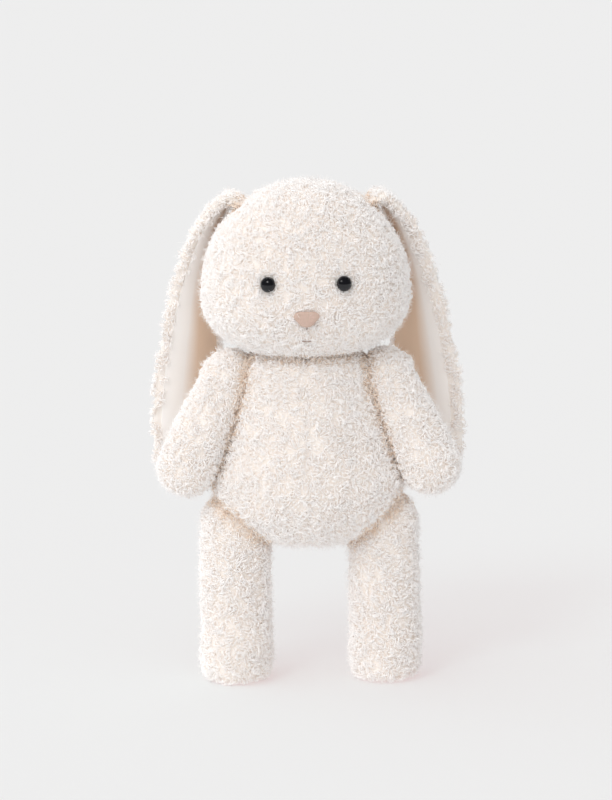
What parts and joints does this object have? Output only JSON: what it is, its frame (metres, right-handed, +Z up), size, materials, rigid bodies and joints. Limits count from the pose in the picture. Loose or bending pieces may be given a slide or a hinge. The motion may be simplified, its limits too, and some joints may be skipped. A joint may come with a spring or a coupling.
{
  "type": "stuffed bunny rabbit",
  "caption": "Standing lop-eared plush rabbit of curly cream pile, with domed eyes, a soft nose, smooth-lined ears and floppy arms and legs.",
  "frame": {"origin": "on the floor under the soles, below the middle of the rabbit's box", "axes": "+Z up, the face looks along -Y, the rabbit's own left is +X"},
  "size_m": [0.1996, 0.1332, 0.329],
  "materials": {
    "curly_pile": "matte",
    "ear_lining": "satin",
    "filling": "matte",
    "pellet_bag": "matte",
    "thread": "matte",
    "mouth_thread": "matte",
    "nose": "satin",
    "eye": "gloss",
    "washer": "satin"
  },
  "bodies": {
    "torso": {"torso_skin": "curly_pile", "torso_stuffing": "filling", "seat_pellet_bag": "pellet_bag", "back_closing_seam": "thread", "tail_skin": "curly_pile", "tail_stuffing": "filling"},
    "neck": {"neck_stitch": "thread"},
    "head": {"head_skin": "curly_pile", "head_stuffing": "filling", "left_eye": "eye", "left_eye_washer": "washer", "right_eye": "eye", "right_eye_washer": "washer", "nose": "nose", "mouth_stitch": "mouth_thread"},
    "left_ear": {"left_ear_back": "curly_pile", "left_ear_lining": "ear_lining"},
    "left_shoulder": {"left_shoulder_stitch": "thread"},
    "left_arm": {"left_arm_skin": "curly_pile", "left_arm_stuffing": "filling"},
    "left_hip": {"left_hip_stitch": "thread"},
    "left_leg": {"left_leg_skin": "curly_pile", "left_leg_stuffing": "filling", "left_foot_pellet_bag": "pellet_bag"},
    "right_ear": {"right_ear_back": "curly_pile", "right_ear_lining": "ear_lining"},
    "right_shoulder": {"right_shoulder_stitch": "thread"},
    "right_arm": {"right_arm_skin": "curly_pile", "right_arm_stuffing": "filling"},
    "right_hip": {"right_hip_stitch": "thread"},
    "right_leg": {"right_leg_skin": "curly_pile", "right_leg_stuffing": "filling", "right_foot_pellet_bag": "pellet_bag"}
  },
  "joints": [
    {"name": "neck_turn", "type": "hinge", "parent": "torso", "child": "neck", "pos_m": [0, -0.00664, 0.2078], "axis": [0, 0, 1], "range_deg": [-10, 10]},
    {"name": "neck_nod", "type": "hinge", "parent": "neck", "child": "head", "pos_m": [0, -0.00664, 0.2078], "axis": [1, 0, 0], "range_deg": [-5, 20]},
    {"name": "left_ear_lift", "type": "hinge", "parent": "head", "child": "left_ear", "pos_m": [0.05065, 0.00238, 0.31634], "axis": [0, -1, 0], "range_deg": [0, 110]},
    {"name": "right_ear_lift", "type": "hinge", "parent": "head", "child": "right_ear", "pos_m": [-0.05065, 0.00238, 0.31634], "axis": [0, 1, 0], "range_deg": [0, 110]},
    {"name": "left_arm_swing", "type": "hinge", "parent": "torso", "child": "left_shoulder", "pos_m": [0.05199, -0.01064, 0.2], "axis": [-1, 0, 0], "range_deg": [0, 90]},
    {"name": "left_arm_raise", "type": "hinge", "parent": "left_shoulder", "child": "left_arm", "pos_m": [0.05199, -0.01064, 0.2], "axis": [0, -1, 0], "range_deg": [0, 70]},
    {"name": "right_arm_swing", "type": "hinge", "parent": "torso", "child": "right_shoulder", "pos_m": [-0.05199, -0.01064, 0.2], "axis": [-1, 0, 0], "range_deg": [0, 90]},
    {"name": "right_arm_raise", "type": "hinge", "parent": "right_shoulder", "child": "right_arm", "pos_m": [-0.05199, -0.01064, 0.2], "axis": [0, 1, 0], "range_deg": [0, 70]},
    {"name": "left_leg_swing", "type": "hinge", "parent": "torso", "child": "left_hip", "pos_m": [0.0485, -0.00664, 0.103], "axis": [-1, 0, 0], "range_deg": [-20, 85]},
    {"name": "left_leg_spread", "type": "hinge", "parent": "left_hip", "child": "left_leg", "pos_m": [0.0485, -0.00664, 0.103], "axis": [0, -1, 0], "range_deg": [0, 25]},
    {"name": "right_leg_swing", "type": "hinge", "parent": "torso", "child": "right_hip", "pos_m": [-0.0485, -0.00664, 0.103], "axis": [-1, 0, 0], "range_deg": [-20, 85]},
    {"name": "right_leg_spread", "type": "hinge", "parent": "right_hip", "child": "right_leg", "pos_m": [-0.0485, -0.00664, 0.103], "axis": [0, 1, 0], "range_deg": [0, 25]}
  ]
}
